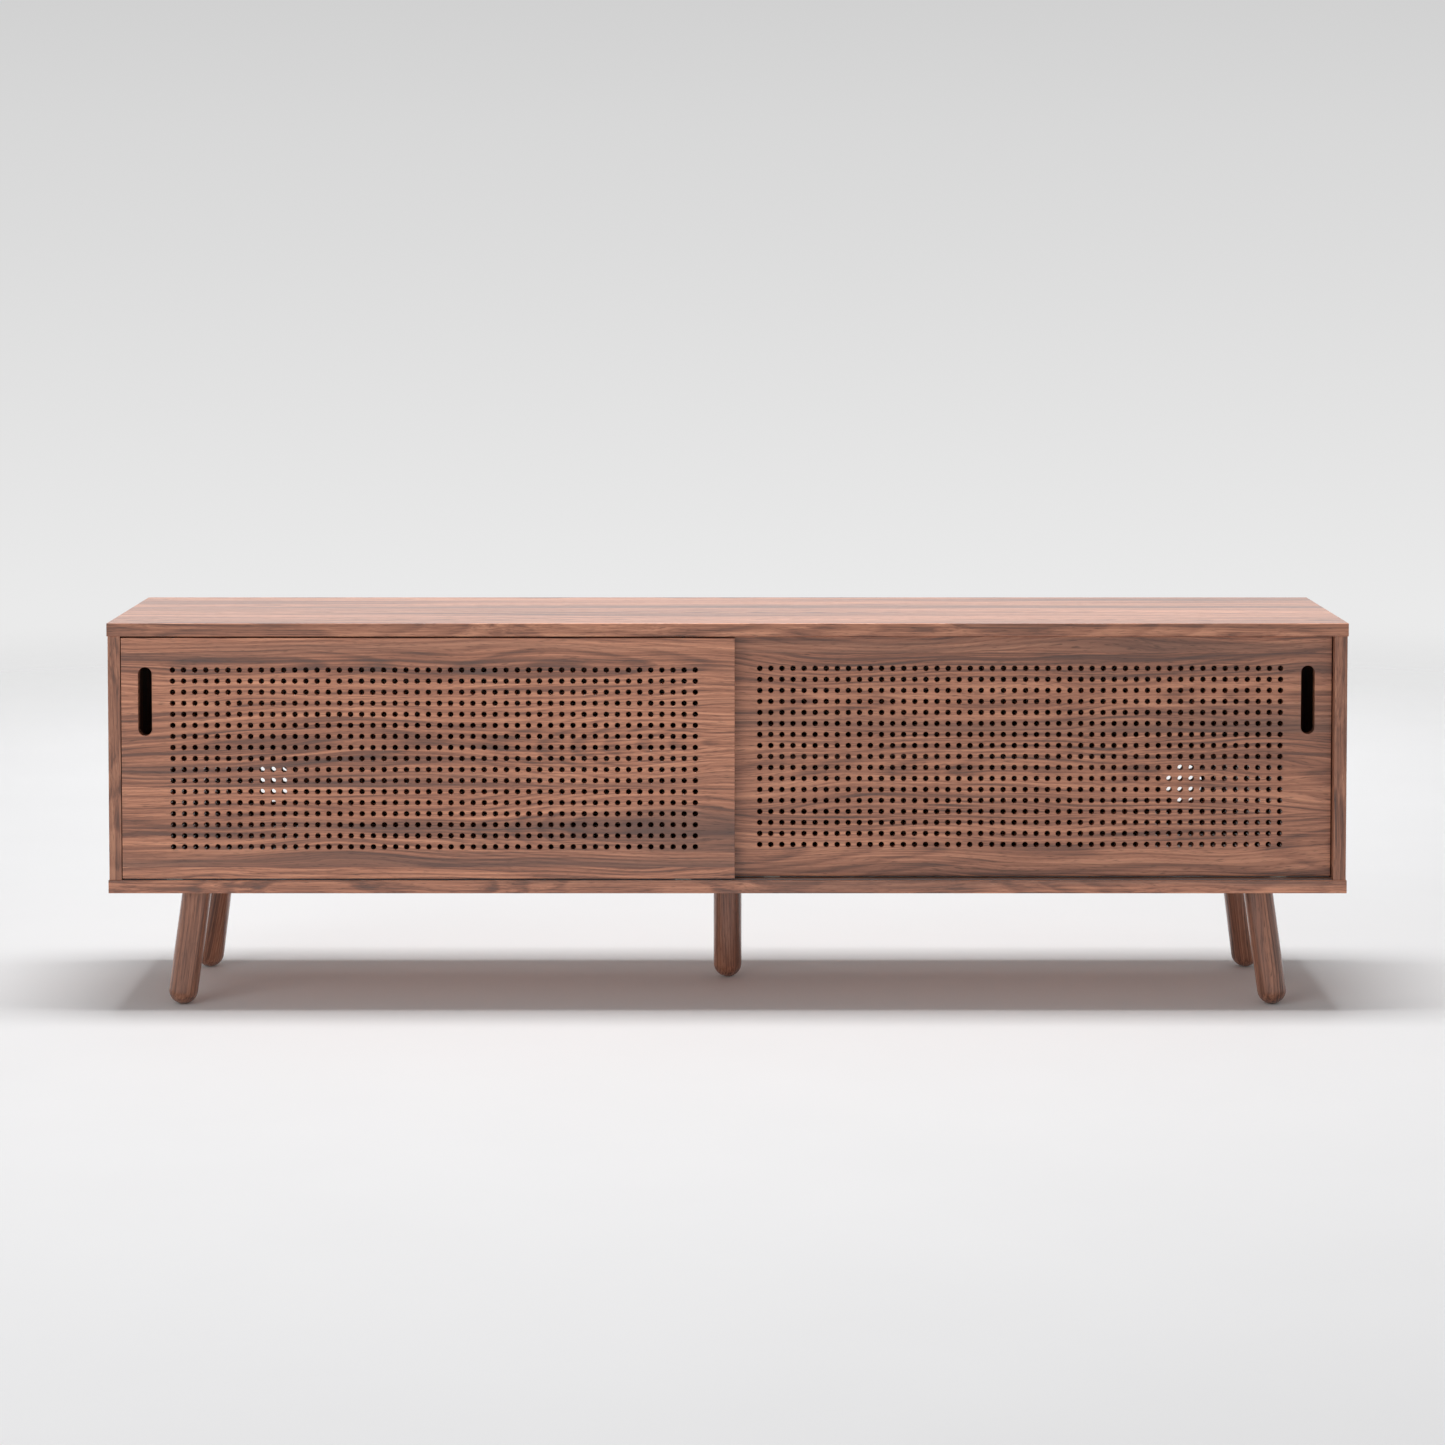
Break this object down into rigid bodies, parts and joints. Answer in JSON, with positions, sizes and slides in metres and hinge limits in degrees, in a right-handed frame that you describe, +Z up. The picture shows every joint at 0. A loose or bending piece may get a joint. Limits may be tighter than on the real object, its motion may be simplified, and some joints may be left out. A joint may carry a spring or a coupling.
{
  "type": "media cabinet",
  "caption": "Low media cabinet on splayed turned legs, with perforated sliding doors in two tracks, shelved bays behind and cable ports in the back.",
  "frame": {"origin": "on the floor, under the middle of the cabinet", "axes": "+X to the right seen from the front, +Y to the back, +Z up"},
  "size_m": [1.8, 0.4, 0.567],
  "materials": {
    "walnut_panel": "matt lacquered walnut veneer, grain along the cabinet",
    "walnut_upright": "matt lacquered walnut veneer, upright grain",
    "walnut_shelf": "matt lacquered walnut veneer",
    "walnut_back": "matt lacquered walnut veneer on thin board",
    "walnut_door": "matt lacquered walnut veneer, perforated",
    "walnut_turned": "turned solid walnut, satin lacquer",
    "anodised_aluminium": "clear anodised extrusion",
    "plated_steel": "bright zinc plated steel",
    "zinc_screw": "zinc plated screws and bolts",
    "die_cast_zinc": "plain die cast zinc",
    "black_nylon": "moulded black nylon",
    "white_acetal": "moulded white acetal",
    "rubber": "moulded black rubber",
    "beech": "fluted beech dowel"
  },
  "bodies": {
    "cabinet": {"top_panel": "walnut_panel", "bottom_panel": "walnut_panel", "left_side_panel": "walnut_upright", "right_side_panel": "walnut_upright", "centre_divider": "walnut_upright", "left_back_panel": "walnut_back", "right_back_panel": "walnut_back", "left_shelf": "walnut_shelf", "right_shelf": "walnut_shelf", "shelf_pins": "plated_steel", "front_top_track": "anodised_aluminium", "rear_top_track": "anodised_aluminium", "front_bottom_track": "anodised_aluminium", "rear_bottom_track": "anodised_aluminium", "track_stops": "rubber", "track_screws": "zinc_screw", "front_left_leg": "walnut_turned", "front_right_leg": "walnut_turned", "back_left_leg": "walnut_turned", "back_right_leg": "walnut_turned", "centre_leg": "walnut_turned", "front_left_leg_plate": "plated_steel", "front_right_leg_plate": "plated_steel", "back_left_leg_plate": "plated_steel", "back_right_leg_plate": "plated_steel", "centre_leg_plate": "plated_steel", "leg_bolts": "zinc_screw", "leg_plate_screws": "zinc_screw", "cam_fittings": "die_cast_zinc", "cam_bolts": "plated_steel", "dowels": "beech", "back_panel_screws": "zinc_screw"},
    "left_door": {"left_door": "walnut_door", "left_door_roller_housings": "black_nylon", "left_door_roller_axles": "plated_steel", "left_door_roller_screws": "zinc_screw", "left_door_top_guides": "black_nylon"},
    "right_door": {"right_door": "walnut_door", "right_door_roller_housings": "black_nylon", "right_door_roller_axles": "plated_steel", "right_door_roller_screws": "zinc_screw", "right_door_top_guides": "black_nylon"},
    "left_door_outer_wheel": {"left_door_outer_wheel": "white_acetal"},
    "left_door_inner_wheel": {"left_door_inner_wheel": "white_acetal"},
    "right_door_outer_wheel": {"right_door_outer_wheel": "white_acetal"},
    "right_door_inner_wheel": {"right_door_inner_wheel": "white_acetal"}
  },
  "joints": [
    {"name": "left_door_slide", "type": "slide", "parent": "cabinet", "child": "left_door", "axis": [1, 0, 0], "range_m": [0, 0.869]},
    {"name": "right_door_slide", "type": "slide", "parent": "cabinet", "child": "right_door", "axis": [1, 0, 0], "range_m": [-0.869, 0]},
    {"name": "left_door_outer_wheel_spin", "type": "hinge", "parent": "left_door", "child": "left_door_outer_wheel", "pos_m": [-0.8046, -0.1895, 0.1983], "axis": [0, 1, 0], "continuous": true},
    {"name": "left_door_inner_wheel_spin", "type": "hinge", "parent": "left_door", "child": "left_door_inner_wheel", "pos_m": [-0.0646, -0.1895, 0.1983], "axis": [0, 1, 0], "continuous": true},
    {"name": "right_door_outer_wheel_spin", "type": "hinge", "parent": "right_door", "child": "right_door_outer_wheel", "pos_m": [0.8046, -0.1675, 0.1983], "axis": [0, 1, 0], "continuous": true},
    {"name": "right_door_inner_wheel_spin", "type": "hinge", "parent": "right_door", "child": "right_door_inner_wheel", "pos_m": [0.0646, -0.1675, 0.1983], "axis": [0, 1, 0], "continuous": true}
  ],
  "couplings": [
    {"joint": "left_door_outer_wheel_spin", "follows": "left_door_slide", "rad_per_m": 76.923},
    {"joint": "left_door_inner_wheel_spin", "follows": "left_door_slide", "rad_per_m": 76.923},
    {"joint": "right_door_outer_wheel_spin", "follows": "right_door_slide", "rad_per_m": 76.923},
    {"joint": "right_door_inner_wheel_spin", "follows": "right_door_slide", "rad_per_m": 76.923}
  ]
}
